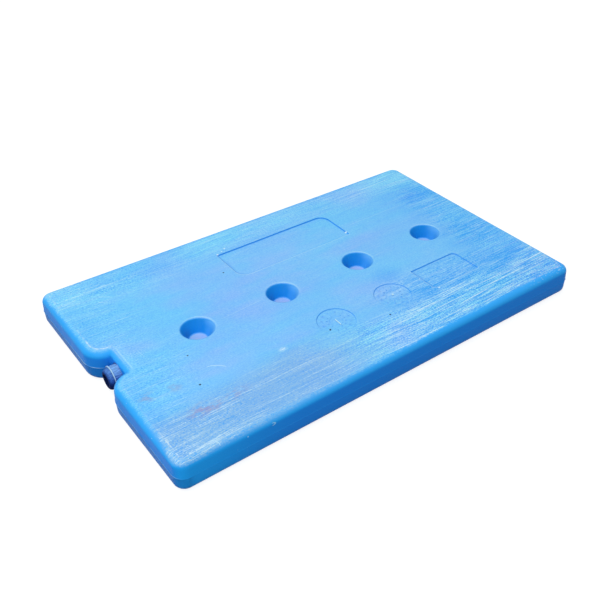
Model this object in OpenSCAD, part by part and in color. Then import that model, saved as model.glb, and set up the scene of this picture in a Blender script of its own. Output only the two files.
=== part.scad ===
// Reusable ice pack: a flat blow-moulded cooling plate with a stopper in its end notch.
// Millimetres. X runs along the plate with the notch at the -X end, Y runs across it,
// Z is up and the underside rests on z = 0.

/* [Plate] */
// Overall length, measured over the parting line
plate_len = 530; // [420:1:640]
// Overall width, measured over the parting line
plate_wid = 325; // [300:1:400]
// Overall thickness
plate_thk = 36; // [32:0.5:48]
// Round between the flat faces and the side walls
edge_r = 9; // [5:0.5:11]
// Plan radius of the four outer corners
corner_r = 13; // [12:0.5:30]
// Lean of the side walls away from the parting line, degrees
draft_deg = 2; // [0.5:0.5:5]
// How far the parting line stands out from the walls
seam_h = 0.4; // [0.2:0.05:0.8]
// Width of the parting line
seam_w = 1.4; // [0.8:0.1:3]

/* [Notch] */
// Distance of the notch's middle from the plate's middle
notch_y = 1.5; // [-20:0.5:20]
// Width of the notch at its narrowest
notch_w = 33; // [31:0.5:60]
// Depth of the notch from the end of the plate
notch_d = 20.5; // [14:0.5:30]
// Plan radius of the two mouth corners
mouth_r = 24; // [12:0.5:30]
// Round between the flat faces and the back wall of the notch
notch_edge_r = 5; // [3:0.5:9]

/* [Dimples] */
// Distance between dimples
dimple_pitch = 109; // [90:1:130]
// Distance of the row's middle from the plate's middle
dimple_shift = 11.7; // [-20:0.1:20]
// Radius where the rim leaves the flat face
dimple_r = 20; // [16:0.5:24]
// Depth from the flat face to the dimple floor
dimple_depth = 15; // [11:0.5:15.5]
// Lean of the dimple wall, degrees
dimple_lean = 27; // [10:1:30]
// Round at the dimple rim
rim_r = 3; // [1:0.25:4]
// Round between the dimple wall and its floor
floor_r = 3.5; // [1:0.25:4]

/* [Panels] */
// Left end of the large panel
panel_x = -60; // [-100:1:-40]
// Length of the large panel
panel_len = 157; // [100:1:180]
// Near edge of the large panel
panel_y = 55; // [40:1:60]
// Width of the large panel
panel_wid = 55.5; // [40:0.5:70]
// Depth of the large panel
panel_depth = 1.2; // [0.5:0.1:2]
// Plan radius of its two rounded corners
panel_r = 11; // [4:0.5:16]
// Left end of the small panel
tag_x = 102.5; // [90:0.5:130]
// Length of the small panel
tag_len = 70; // [40:1:90]
// Far edge of the small panel, below the middle line
tag_y = -55.3; // [-60:0.1:-50]
// Width of the small panel
tag_wid = 42; // [25:1:50]
// Depth of the small panel
tag_depth = 0.9; // [0.4:0.1:1.5]
// Plan radius of its two rounded corners
tag_r = 6; // [3:0.5:12]

/* [Mould dials] */
// Middle of the first dial along X
dial_x = -24.7; // [-60:0.1:0]
// Distance between the two dials
dial_pitch = 80.3; // [60:0.1:100]
// Distance of the dials from the middle line
dial_y = 77.4; // [55:0.1:100]
// Radius of a dial
dial_r = 21.5; // [12:0.5:25]
// Depth of a dial
dial_depth = 0.7; // [0.3:0.1:1.2]

/* [Stopper] */
// Outer radius of the skirt
skirt_r = 12.5; // [9:0.25:13]
// Height of the ring above the skirt
ring_h = 1; // [0.4:0.1:1.4]
// Width of the ring
ring_w = 1.4; // [0.8:0.1:2.5]
// Length of the skirt
skirt_len = 9.5; // [4:0.25:12]
// Length of the nose beyond the ring
nose_len = 5.2; // [4:0.1:9]
// Radius of the nose at its end
nose_r = 11.5; // [7:0.1:12.3]
// Radius of the round at the end of the nose
nose_round = 3.6; // [0.5:0.1:3.8]
// Radius of the recess in the end of the nose
recess_r = 6.4; // [3:0.1:7]
// Depth of the recess
recess_d = 2.4; // [0.5:0.1:4]
// Radius of the spigot inside the filler bore
spigot_r = 8; // [5:0.25:9]
// Length of the spigot
spigot_len = 10; // [5:0.5:16]
// Clearance of the spigot in its bore, on the radius
spigot_gap = 0.2; // [0.1:0.05:0.5]
// Depth of the flat seat sunk in the back wall of the notch
seat_d = 2.6; // [2:0.1:4]
// Room left around the skirt in its seat
seat_gap = 0.6; // [0.4:0.1:2.5]

/* [Hidden] */
eps = 0.01;
arc_steps = 7;
x0 = -plate_len / 2;
x1 = plate_len / 2;
y0 = -plate_wid / 2;
y1 = plate_wid / 2;
half_t = plate_thk / 2;
notch_back = x0 + notch_d;
notch_far = notch_y + notch_w / 2;
notch_near = notch_y - notch_w / 2;
seat_x = notch_back + seat_d;
seat_r = skirt_r + ring_h + seat_gap;
ring_x = seat_x - skirt_len;
nose_x = ring_x - ring_w;
end_x = nose_x - nose_len;

// A length to the nearest thousandth, so that neighbouring stretches share their points
function fine(v) = round(v * 1000) / 1000;

// Points of an arc about a centre, from one angle to another
function arc(c, r, a, b, n) = [
  for (i = [0:n]) [
    fine(c[0] + r * cos(a + (b - a) * i / n)),
    fine(c[1] + r * sin(a + (b - a) * i / n))
  ]
];

// Distance of the edge round's centre from the outermost line of the wall
function round_inset(r) =
  fine(seam_h + (half_t - r + r * sin(draft_deg)) * tan(draft_deg) + r * cos(draft_deg));

// Section through the edge: rounds top and bottom, leaning walls, parting line
module edge_section(depth, r = edge_r) {
  c = depth - round_inset(r);
  w = fine(depth - seam_h);
  lean = fine(seam_w / 2 * tan(draft_deg));
  polygon(concat(
    [[0, 0]],
    arc([c, r], r, -90, -draft_deg, arc_steps),
    [
      [w - lean, half_t - seam_w / 2],
      [depth, fine(half_t - seam_w / 6)],
      [depth, fine(half_t + seam_w / 6)],
      [w - lean, half_t + seam_w / 2]
    ],
    arc([c, plate_thk - r], r, draft_deg, 90, arc_steps),
    [[0, plate_thk]]
  ));
}

// A straight stretch of edge that starts at p and runs along the angle a, wall on its right
module edge_run(p, a, len, depth, r = edge_r) {
  translate([p[0], p[1], 0])
    rotate([0, 0, a])
      translate([len, depth, 0])
        rotate([90, 0, -90])
          linear_extrude(height = len)
            edge_section(depth, r);
}

// A convex corner of the edge about the point c, a quarter turn from the angle a
module edge_corner(c, a, r) {
  translate([c[0], c[1], 0])
    rotate([0, 0, a])
      rotate_extrude(angle = 90, $fn = 96)
        edge_section(r);
}

// The plate before anything is sunk in it
module plate_blank() {
  linear_extrude(height = plate_thk)
    polygon([
      [x1 - corner_r, y0 + corner_r],
      [x1 - corner_r, y1 - corner_r],
      [x0 + mouth_r, y1 - corner_r],
      [x0 + mouth_r, notch_far + mouth_r],
      [notch_back + mouth_r, notch_far + mouth_r],
      [notch_back + mouth_r, notch_near - mouth_r],
      [x0 + mouth_r, notch_near - mouth_r],
      [x0 + mouth_r, y0 + corner_r]
    ]);
  // long sides
  edge_run([x0 + corner_r, y0], 0, plate_len - 2 * corner_r, corner_r);
  edge_run([x1 - corner_r, y1], 180, plate_len - 2 * corner_r, corner_r);
  // plain end
  edge_run([x1, y0 + corner_r], 90, plate_wid - 2 * corner_r, corner_r);
  // end with the notch, either side of it
  edge_run([x0, y1 - corner_r], -90, y1 - corner_r - notch_far - mouth_r, mouth_r);
  edge_run([x0, notch_near - mouth_r], -90, notch_near - mouth_r - y0 - corner_r, mouth_r);
  // back wall of the notch
  edge_run([notch_back, notch_far + mouth_r], -90, notch_w + 2 * mouth_r, mouth_r, notch_edge_r);
  // side walls of the notch
  edge_run([x0 + mouth_r, notch_far], 0, notch_d, mouth_r);
  edge_run([notch_back + mouth_r, notch_near], 180, notch_d, mouth_r);
  // outer corners
  edge_corner([x1 - corner_r, y0 + corner_r], -90, corner_r);
  edge_corner([x1 - corner_r, y1 - corner_r], 0, corner_r);
  edge_corner([x0 + corner_r, y1 - corner_r], 90, corner_r);
  edge_corner([x0 + corner_r, y0 + corner_r], 180, corner_r);
  // mouth corners of the notch
  edge_corner([x0 + mouth_r, notch_far + mouth_r], 180, mouth_r);
  edge_corner([x0 + mouth_r, notch_near - mouth_r], 90, mouth_r);
}

// Hollow of one dimple below a face at z = 0
module dimple_hollow() {
  s = (dimple_depth - rim_r - floor_r + (rim_r + floor_r) * sin(dimple_lean)) / cos(dimple_lean);
  rc = dimple_r - (rim_r + floor_r) * cos(dimple_lean) - s * sin(dimple_lean);
  rotate_extrude($fn = 96)
    polygon(concat(
      [[0, 1], [dimple_r, 1]],
      arc([dimple_r, -rim_r], rim_r, 90, 180 - dimple_lean, arc_steps),
      arc([rc, floor_r - dimple_depth], floor_r, -dimple_lean, -90, arc_steps),
      [[0, -dimple_depth]]
    ));
}

// Leaf-shaped outline: two opposite corners square, the other two round
module leaf(len, wid, r) {
  polygon(concat(
    arc([r, r], r, 180, 270, arc_steps),
    [[len, 0]],
    arc([len - r, wid - r], r, 0, 90, arc_steps),
    [[0, wid]]
  ));
}

module plate() {
  color([0.36, 0.66, 0.95])
    difference() {
      plate_blank();
      // dimples of both faces, floor to floor
      for (i = [0:3]) {
        translate([dimple_shift + (i - 1.5) * dimple_pitch, 0, plate_thk])
          dimple_hollow();
        translate([dimple_shift + (i - 1.5) * dimple_pitch, 0, 0])
          rotate([180, 0, 0])
            dimple_hollow();
      }
      // panels
      translate([panel_x, panel_y, plate_thk - panel_depth])
        linear_extrude(height = panel_depth + 1)
          leaf(panel_len, panel_wid, panel_r);
      translate([tag_x, tag_y - tag_wid, plate_thk - tag_depth])
        linear_extrude(height = tag_depth + 1)
          leaf(tag_len, tag_wid, tag_r);
      // mould dials
      for (i = [0:1])
        translate([dial_x + i * dial_pitch, -dial_y, plate_thk - dial_depth])
          cylinder(r = dial_r, h = dial_depth + 1, $fn = 96);
      // seat and bore for the stopper
      translate([notch_back - 4, notch_y, half_t])
        rotate([0, 90, 0])
          cylinder(r = seat_r, h = seat_d + 4, $fn = 96);
      translate([seat_x - eps, notch_y, half_t])
        rotate([0, 90, 0])
          cylinder(r = spigot_r + spigot_gap, h = spigot_len + spigot_gap + eps, $fn = 72);
    }
}

// Stopper turned about the X axis: spigot, skirt, ring and tapered nose
module filler_plug() {
  a = atan((skirt_r - nose_r) / nose_len);
  color([0.16, 0.25, 0.5])
    translate([end_x, notch_y, half_t])
      rotate([0, 90, 0])
        rotate_extrude($fn = 96)
          polygon(concat(
            [[0, recess_d], [recess_r - recess_d * tan(12), recess_d], [recess_r, 0]],
            arc([nose_r - nose_round, nose_round], nose_round, -90, -a, arc_steps),
            [
              [skirt_r - 0.3, nose_len],
              [skirt_r + ring_h, nose_len + ring_w * 0.25],
              [skirt_r + ring_h, nose_len + ring_w * 0.75],
              [skirt_r, nose_len + ring_w],
              [skirt_r, nose_len + ring_w + skirt_len],
              [spigot_r, nose_len + ring_w + skirt_len],
              [spigot_r, nose_len + ring_w + skirt_len + spigot_len - 1],
              [spigot_r - 1, nose_len + ring_w + skirt_len + spigot_len],
              [0, nose_len + ring_w + skirt_len + spigot_len]
            ]
          ));
}

plate();
filler_plug();
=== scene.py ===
import bpy
import bmesh
import math
import numpy as np
from mathutils import Matrix, Vector, geometry
from mathutils.kdtree import KDTree


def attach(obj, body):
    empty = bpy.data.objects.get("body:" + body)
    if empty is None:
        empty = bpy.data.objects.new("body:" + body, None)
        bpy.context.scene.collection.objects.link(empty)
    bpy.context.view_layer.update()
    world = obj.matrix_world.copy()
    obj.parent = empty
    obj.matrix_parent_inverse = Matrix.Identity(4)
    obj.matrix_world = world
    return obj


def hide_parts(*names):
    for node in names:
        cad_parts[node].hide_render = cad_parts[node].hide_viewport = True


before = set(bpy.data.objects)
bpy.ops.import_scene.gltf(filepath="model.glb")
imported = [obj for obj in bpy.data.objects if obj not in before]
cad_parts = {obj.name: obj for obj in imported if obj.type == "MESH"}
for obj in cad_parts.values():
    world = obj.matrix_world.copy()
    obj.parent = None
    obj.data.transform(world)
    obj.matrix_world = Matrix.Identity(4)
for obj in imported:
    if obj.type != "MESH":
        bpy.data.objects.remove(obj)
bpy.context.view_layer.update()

# Sizes in millimetres, as in the solids
LEN, WID, THK = 530.0, 325.0, 36.0
EDGE_R, CORNER_R, DRAFT = 9.0, 13.0, math.radians(2.0)
SEAM_H, SEAM_W = 0.4, 1.4
NOTCH_Y, NOTCH_W, NOTCH_D, MOUTH_R, NOTCH_EDGE_R = 1.5, 33.0, 20.5, 24.0, 5.0
PITCH, SHIFT, DIMPLE_R, DIMPLE_DEPTH = 109.0, 11.7, 20.0, 15.0
DIMPLE_LEAN, RIM_R, FLOOR_R = math.radians(27.0), 3.0, 3.5
# Sunk panels as (x, y, length, width, depth, large corner), with two small corners each
PANEL = (-62.5, 54.5, 159.5, 56.0, 1.2, 13.0)
TAG = (102.5, -97.3, 70.0, 42.0, 0.9, 6.0)
DIAL_X, DIAL_PITCH, DIAL_Y, DIAL_R, DIAL_DEPTH, HUB_R = -24.7, 80.3, -77.4, 21.5, 0.7, 7.5
DIALS = [(DIAL_X + i * DIAL_PITCH, DIAL_Y) for i in range(2)]
LEAF_TIP_R = 1.6
SEAT_D, SEAT_R, STOPPER_END = 2.6, 13.7, -258.0
MM = 0.001
HALF = THK / 2
X0, X1, Y0, Y1 = -LEN / 2, LEN / 2, -WID / 2, WID / 2
BACK = X0 + NOTCH_D
# Points on the outline's stretches: long side, plain end, corner, notched end, mouth arc, fillet, back wall
LONG_N, END_N, CORNER_N, SHORT_N, ARC_N, FILLET_N, BACK_N = 54, 34, 12, 16, 30, 9, 12


def round_inset(r):
    return SEAM_H + (HALF - r + r * math.sin(DRAFT)) * math.tan(DRAFT) + r * math.cos(DRAFT)


INSET, BACK_INSET = round_inset(EDGE_R), round_inset(NOTCH_EDGE_R)


def smooth(t):
    t = np.clip(t, 0.0, 1.0)
    return t * t * (3 - 2 * t)


# Plan outline at a distance s in from the outermost line, always with the same number of points
def arc_pts(cx, cy, r, a, b, n):
    t = np.radians(np.linspace(a, b, n))
    return np.c_[cx + r * np.cos(t), cy + r * np.sin(t)]


def line_pts(p, q, n):
    t = np.linspace(0, 1, n)[:, None]
    return np.array(p) * (1 - t) + np.array(q) * t


def notch_half(s, b, side):
    """From the mouth arc to the middle of the back wall; side is 1 on the far side of the notch, else -1."""
    cx, cy = X0 + MOUTH_R, MOUTH_R + NOTCH_W / 2
    r = MOUTH_R - s
    bx = BACK + b
    if bx < cx:
        end = math.degrees(math.asin(min((cx - bx) / r, 1.0)))
        p = arc_pts(cx, cy, r, 180, 270 - end, 60)
    else:
        p = np.vstack([arc_pts(cx, cy, r, 180, 270, 60), line_pts((cx, cy - r), (bx, cy - r), 12)[1:]])
    corner = p[-1].copy()
    d = np.r_[0, np.cumsum(np.hypot(*np.diff(p, axis=0).T))]
    cut = 2.2
    keep = np.linspace(0, d[-1] - cut, ARC_N)
    a = np.c_[np.interp(keep, d, p[:, 0]), np.interp(keep, d, p[:, 1])]
    e = corner + np.array([0.0, -cut])
    t = np.linspace(0, 1, FILLET_N)[1:-1, None]
    mid = a[-1] * (1 - t) ** 2 + 2 * corner * t * (1 - t) + e * t ** 2
    back = line_pts(e, (bx, 0.0), BACK_N)
    out = np.vstack([a, mid, back])
    return np.c_[out[:, 0], NOTCH_Y + side * out[:, 1]]


def outline(s, b=None):
    """Closed line s in from the outermost one; the notch's back wall, with its own rounding, is b in."""
    c = CORNER_R
    r = c - s
    b = s - INSET + BACK_INSET if b is None else b
    far = notch_half(s, b, 1)
    near = notch_half(s, b, -1)[::-1]
    parts = [
        line_pts((X0 + c, Y0 + s), (X1 - c, Y0 + s), LONG_N),
        arc_pts(X1 - c, Y0 + c, r, -90, 0, CORNER_N)[1:-1],
        line_pts((X1 - s, Y0 + c), (X1 - s, Y1 - c), END_N),
        arc_pts(X1 - c, Y1 - c, r, 0, 90, CORNER_N)[1:-1],
        line_pts((X1 - c, Y1 - s), (X0 + c, Y1 - s), LONG_N),
        arc_pts(X0 + c, Y1 - c, r, 90, 180, CORNER_N)[1:-1],
        line_pts((X0 + s, Y1 - c), tuple(far[0]), SHORT_N)[:-1],
        far,
        near[1:],
        line_pts(tuple(near[-1]), (X0 + s, Y0 + c), SHORT_N)[1:],
        arc_pts(X0 + c, Y0 + c, r, 180, 270, CORNER_N)[1:-1],
    ]
    return np.vstack(parts)


def back_share():
    """1 for the outline's points on the back wall of the notch, 0 elsewhere, with the fillets between."""
    half = np.concatenate([np.zeros(ARC_N), np.linspace(0, 1, FILLET_N)[1:-1], np.ones(BACK_N)])
    out = np.zeros(len(outline(0.0, 0.0)))
    start = 2 * LONG_N + END_N + 3 * (CORNER_N - 2) + SHORT_N - 1
    out[start:start + 2 * len(half) - 1] = np.concatenate([half, half[::-1][1:]])
    return out


def back_section(z, s, a):
    """Inset and normal angle of the back wall at the height z, where the other walls have s and a."""
    r, up = NOTCH_EDGE_R, abs(z - HALF) - (HALF - NOTCH_EDGE_R)
    if up > r * math.sin(DRAFT):
        angle = math.asin(min(up / r, 1.0))
        return BACK_INSET - math.sqrt(max(r * r - up * up, 0.0)), math.copysign(angle, z - HALF)
    if abs(z - HALF) < SEAM_W:
        return s, a
    return SEAM_H + abs(z - HALF) * math.tan(DRAFT), math.copysign(DRAFT, z - HALF)


def quarter(n=13, power=2.35):
    """Edge rounding as rows of inset, height and normal angle, a little fuller than a quarter round."""
    rows, sink = [], math.sin(DRAFT)
    for i in range(n + 1):
        t = math.pi / 2 * (1 - i / n)
        u, v = max(math.cos(t), 0.0) ** (2 / power), math.sin(t) ** (2 / power)
        normal = math.atan2(v ** (power - 1), max(u, 1e-9) ** (power - 1))
        drop = EDGE_R * (sink + (1 - sink) * v - 1)
        rows.append((INSET - EDGE_R * math.cos(DRAFT) * u, drop, max(normal, DRAFT)))
    return rows


def edge_profile():
    arc = quarter()
    rows = [(q, THK + z, a) for q, z, a in arc]
    rows.append((SEAM_H + 4.0 * math.tan(DRAFT), HALF + 4.0, DRAFT))
    lean = SEAM_W / 2 * math.tan(DRAFT)
    for k in range(-4, 5):
        t = k / 4
        h = SEAM_H * math.cos(t * math.pi / 2) ** 1.5
        rows.append((SEAM_H - h + lean * abs(t), HALF - t * SEAM_W / 2, math.sin(-t * math.pi) * 0.2))
    rows.append((SEAM_H + 4.0 * math.tan(DRAFT), HALF - 4.0, -DRAFT))
    rows += [(q, -z, -a) for q, z, a in reversed(arc)]
    return rows


def dimple_profile():
    """Section of a dimple as rows of radius and height from the face, from the rim to the floor."""
    s = (DIMPLE_DEPTH - RIM_R - FLOOR_R + (RIM_R + FLOOR_R) * math.sin(DIMPLE_LEAN)) / math.cos(DIMPLE_LEAN)
    rc = DIMPLE_R - (RIM_R + FLOOR_R) * math.cos(DIMPLE_LEAN) - s * math.sin(DIMPLE_LEAN)
    p = []
    for i in range(9):
        a = math.pi / 2 + (math.pi / 2 - DIMPLE_LEAN) * i / 8
        p.append((DIMPLE_R + RIM_R * math.cos(a), -RIM_R + RIM_R * math.sin(a)))
    top, n = len(p) - 1, 7
    first = (rc + FLOOR_R * math.cos(-DIMPLE_LEAN), FLOOR_R - DIMPLE_DEPTH + FLOOR_R * math.sin(-DIMPLE_LEAN))
    for i in range(1, n):
        t = i / n
        p.append((p[top][0] * (1 - t) + first[0] * t, p[top][1] * (1 - t) + first[1] * t))
    for i in range(8):
        a = -DIMPLE_LEAN + (DIMPLE_LEAN - math.pi / 2) * i / 7
        p.append((rc + FLOOR_R * math.cos(a), FLOOR_R - DIMPLE_DEPTH + FLOOR_R * math.sin(a)))
    return np.array(p)


PROFILE = dimple_profile()
CENTRES = [(SHIFT + (i - 1.5) * PITCH, 0.0) for i in range(4)]
WALL = 1.3


def leaf_distance(x, y, spec):
    """Signed distance to a leaf-shaped outline, negative inside."""
    lx, ly, w, h, _, r = spec
    px, py = x - lx - w / 2, y - ly - h / 2
    rad = np.where(px * py > 0, r, LEAF_TIP_R)
    qx, qy = np.abs(px) - w / 2 + rad, np.abs(py) - h / 2 + rad
    return np.minimum(np.maximum(qx, qy), 0) + np.hypot(np.maximum(qx, 0), np.maximum(qy, 0)) - rad


def sink(x, y, top):
    """How far the flat face lies below its nominal plane, apart from dimples, in millimetres."""
    z = np.zeros_like(x)
    # soft hollows that the blown wall keeps between its supports
    z += 0.22 * (np.cos(x / 54.5 * math.pi * 2 - 0.4) * 0.5 + 0.5) * np.exp(-(y / 60) ** 2)
    z += 0.30 * (0.5 - 0.5 * np.cos((y + 12) / 62 * math.pi)) * (0.6 + 0.4 * np.sin(x / 83 + 0.9))
    z += 0.10 * (1 + np.sin(x / 27 + y / 41)) + 0.08 * (1 + np.sin(y / 19 - x / 63))
    edge = np.minimum(np.minimum(X1 - np.abs(x), Y1 - np.abs(y)) - INSET, 40)
    z *= smooth(edge / 28)
    for cx, cy in CENTRES:
        z *= smooth((np.hypot(x - cx, y - cy) - DIMPLE_R) / 16)
    z *= smooth((np.hypot((x - X0) * 0.8, y - NOTCH_Y) - 38) / 25)
    if top:
        for spec in (PANEL, TAG):
            z += spec[4] * smooth((WALL / 2 - leaf_distance(x, y, spec)) / WALL)
        for cx, cy in DIALS:
            r = np.hypot(x - cx, y - cy)
            z += DIAL_DEPTH * smooth((WALL / 2 - (r - DIAL_R)) / WALL)
            z += 0.35 * smooth((0.5 - np.abs(r - HUB_R)) / 0.5)
    return z


def face_depth(x, y, top):
    z = sink(x, y, top)
    for cx, cy in CENTRES:
        r = np.hypot(x - cx, y - cy)
        inside = r < DIMPLE_R
        z = np.where(inside, -np.interp(r, PROFILE[::-1, 0], PROFILE[::-1, 1]), z)
    return z


def paint_lip_light_and_shade(x, y):
    """Painted light and shade on sunken edges and dimple rims by facing: above 0 lighter, below 0 darker."""
    v = np.zeros_like(x)
    h = 0.02

    def bell(d, at, w):
        return np.exp(-((d - at) / w) ** 2)

    def edge(d, k):
        k = np.clip(k * 1.6, -1, 1)
        pale = np.maximum(k, 0) * (bell(d, 0.35, 0.55) - 0.5 * bell(d, -0.75, 0.5))
        return pale + np.minimum(k, 0) * (bell(d, -0.05, 0.95) - 0.35 * bell(d, 1.5, 0.5))

    for spec in (PANEL, TAG):
        d = leaf_distance(x, y, spec)
        gx = (leaf_distance(x + h, y, spec) - leaf_distance(x - h, y, spec)) / (2 * h)
        gy = (leaf_distance(x, y + h, spec) - leaf_distance(x, y - h, spec)) / (2 * h)
        v += edge(d, -(0.45 * gx + 0.9 * gy))
        v -= 0.60 * np.clip(-gx, 0, 1) * bell(d, -0.6, 0.7)
    for cx, cy in DIALS:
        dx, dy = x - cx, y - cy
        r = np.hypot(dx, dy) + 1e-9
        k = (0.45 * dx + 0.9 * dy) / r
        v += 0.3 * np.clip(-k, 0, 1) * bell(r - DIAL_R, 0.3, 0.55)
        v -= np.clip(0.50 + 0.6 * k, 0.28, 0.9) * bell(r - DIAL_R, 0.0, 0.6)
    for cx, cy in CENTRES:
        dx, dy = x - cx, y - cy
        r = np.hypot(dx, dy) + 1e-9
        v += (0.05 + 0.42 * np.clip((0.73 * dx + 0.68 * dy) / r, 0, 1)) * bell(r, DIMPLE_R + 0.4, 1.0)
    return v


def inside_poly(p, poly):
    x, y = p[:, 0], p[:, 1]
    hit = np.zeros(len(p), bool)
    a, b = poly, np.roll(poly, -1, axis=0)
    for (ax, ay), (bx, by) in zip(a, b):
        if ay == by:
            continue
        cross = ((ay > y) != (by > y)) & (x < (bx - ax) * (y - ay) / (by - ay) + ax)
        hit ^= cross
    return hit


def leaf_loop(spec, e):
    lx, ly, w, h, _, r = spec
    a, b = r + e, LEAF_TIP_R + e
    x1, y1 = lx + w, ly + h
    return np.vstack([
        arc_pts(lx + r, ly + r, a, 180, 270, 14),
        line_pts((lx + r, ly - e), (x1 - LEAF_TIP_R, ly - e), 22)[1:-1],
        arc_pts(x1 - LEAF_TIP_R, ly + LEAF_TIP_R, b, 270, 360, 6),
        line_pts((x1 + e, ly + LEAF_TIP_R), (x1 + e, y1 - r), 9)[1:-1],
        arc_pts(x1 - r, y1 - r, a, 0, 90, 14),
        line_pts((x1 - r, y1 + e), (lx + LEAF_TIP_R, y1 + e), 22)[1:-1],
        arc_pts(lx + LEAF_TIP_R, y1 - LEAF_TIP_R, b, 90, 180, 6),
        line_pts((lx - e, y1 - LEAF_TIP_R), (lx - e, ly + r), 9)[1:-1],
    ])


def circle_loop(cx, cy, r, n):
    return arc_pts(cx, cy, r, 0, 360, n + 1)[:-1]


def flat_face(top, crease):
    """Points and triangles of one flat face with all that is sunk in it. The crease loop comes first."""
    loops = [crease]
    for s in (1.2, 3.0, 6.0):
        loops.append(outline(INSET + s))
    for cx, cy in CENTRES:
        loops.append(circle_loop(cx, cy, DIMPLE_R + 3.0, 64))
        for r, _ in PROFILE:
            loops.append(circle_loop(cx, cy, r, 64))
        loops.append(circle_loop(cx, cy, 5.0, 24))
    if top:
        steps = [WALL * k for k in (-0.9, -0.5, -0.35, -0.18, 0.0, 0.18, 0.35, 0.5, 0.9)]
        for spec in (PANEL, TAG):
            loops += [leaf_loop(spec, e) for e in steps]
        for cx, cy in DIALS:
            loops += [circle_loop(cx, cy, DIAL_R + e, 72) for e in steps]
            loops += [circle_loop(cx, cy, HUB_R + e, 40) for e in (-0.6, -0.3, 0.0, 0.3, 0.6)]
    pts, edges = [], []
    for lp in loops:
        base = len(pts)
        pts += [tuple(p) for p in lp]
        n = len(lp)
        edges += [(base + i, base + (i + 1) % n) for i in range(n)]
    # a loose grid in what is left, for the soft hollows
    gx, gy = np.meshgrid(np.arange(X0 + 20, X1 - 14, 7.5), np.arange(Y0 + 20, Y1 - 14, 7.5))
    g = np.c_[gx.ravel() + 1.3 * np.sin(gy.ravel()), gy.ravel() + 1.3 * np.sin(gx.ravel())]
    ok = inside_poly(g, outline(INSET + 8.0))
    for cx, cy in CENTRES:
        ok &= np.hypot(g[:, 0] - cx, g[:, 1] - cy) > DIMPLE_R + 6
    if top:
        for spec in (PANEL, TAG):
            ok &= np.abs(leaf_distance(g[:, 0], g[:, 1], spec)) > 3.5
        for cx, cy in DIALS:
            d = np.hypot(g[:, 0] - cx, g[:, 1] - cy)
            ok &= (np.abs(d - DIAL_R) > 3.5) & (np.abs(d - HUB_R) > 2.5)
    pts += [tuple(p) for p in g[ok]]
    out = geometry.delaunay_2d_cdt([Vector(p) for p in pts], edges, [], 0, 1e-5)
    v, tris, orig = out[0], out[2], out[3]
    v = np.array([(p.x, p.y) for p in v])
    first = {}
    for k, src in enumerate(orig):
        for q in src:
            first[q] = k
    ring = [first[k] for k in range(len(crease))]
    tris = np.array([t for t in tris if len(t) == 3])
    mid = v[tris].mean(axis=1)
    tris = tris[inside_poly(mid, crease)]
    used = np.unique(np.concatenate([tris.ravel(), ring]))
    remap = -np.ones(len(v), int)
    rest = [k for k in used if k not in set(ring)]
    order = ring + rest
    remap[order] = np.arange(len(order))
    return v[order], remap[tris]


def crease_distance(p, crease):
    """Shortest distance of points from the crease loop."""
    a, b = crease, np.roll(crease, -1, axis=0)
    best = np.full(len(p), 1e9)
    for q, r in zip(a, b):
        d = r - q
        t = np.clip(((p - q) @ d) / max(d @ d, 1e-12), 0, 1)
        best = np.minimum(best, np.hypot(*(p - q - t[:, None] * d).T))
    return best


def warp(p):
    """The long sides of a filled plate draw in a little at mid length."""
    q = p.copy()
    pull = 0.5 * (1 - (p[:, 0] / X1) ** 2) * (np.abs(p[:, 1]) / Y1) ** 3
    q[:, 1] -= np.sign(p[:, 1]) * pull
    end = 0.3 * (1 - (p[:, 1] / Y1) ** 2) * np.clip(p[:, 0] / X1, 0, 1) ** 3
    q[:, 0] -= end
    return q


def put_values(me, name, values):
    at = me.attributes.new(name, "FLOAT", "POINT")
    at.data.foreach_set("value", np.asarray(values, np.float32))


def facing(v, tris, up):
    """The triangles turned so that their normals point up, or down."""
    a, b, c = (v[k] for k in tris[0])
    return tris if (np.cross(b - a, c - a)[2] > 0) == up else tris[:, ::-1]


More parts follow.
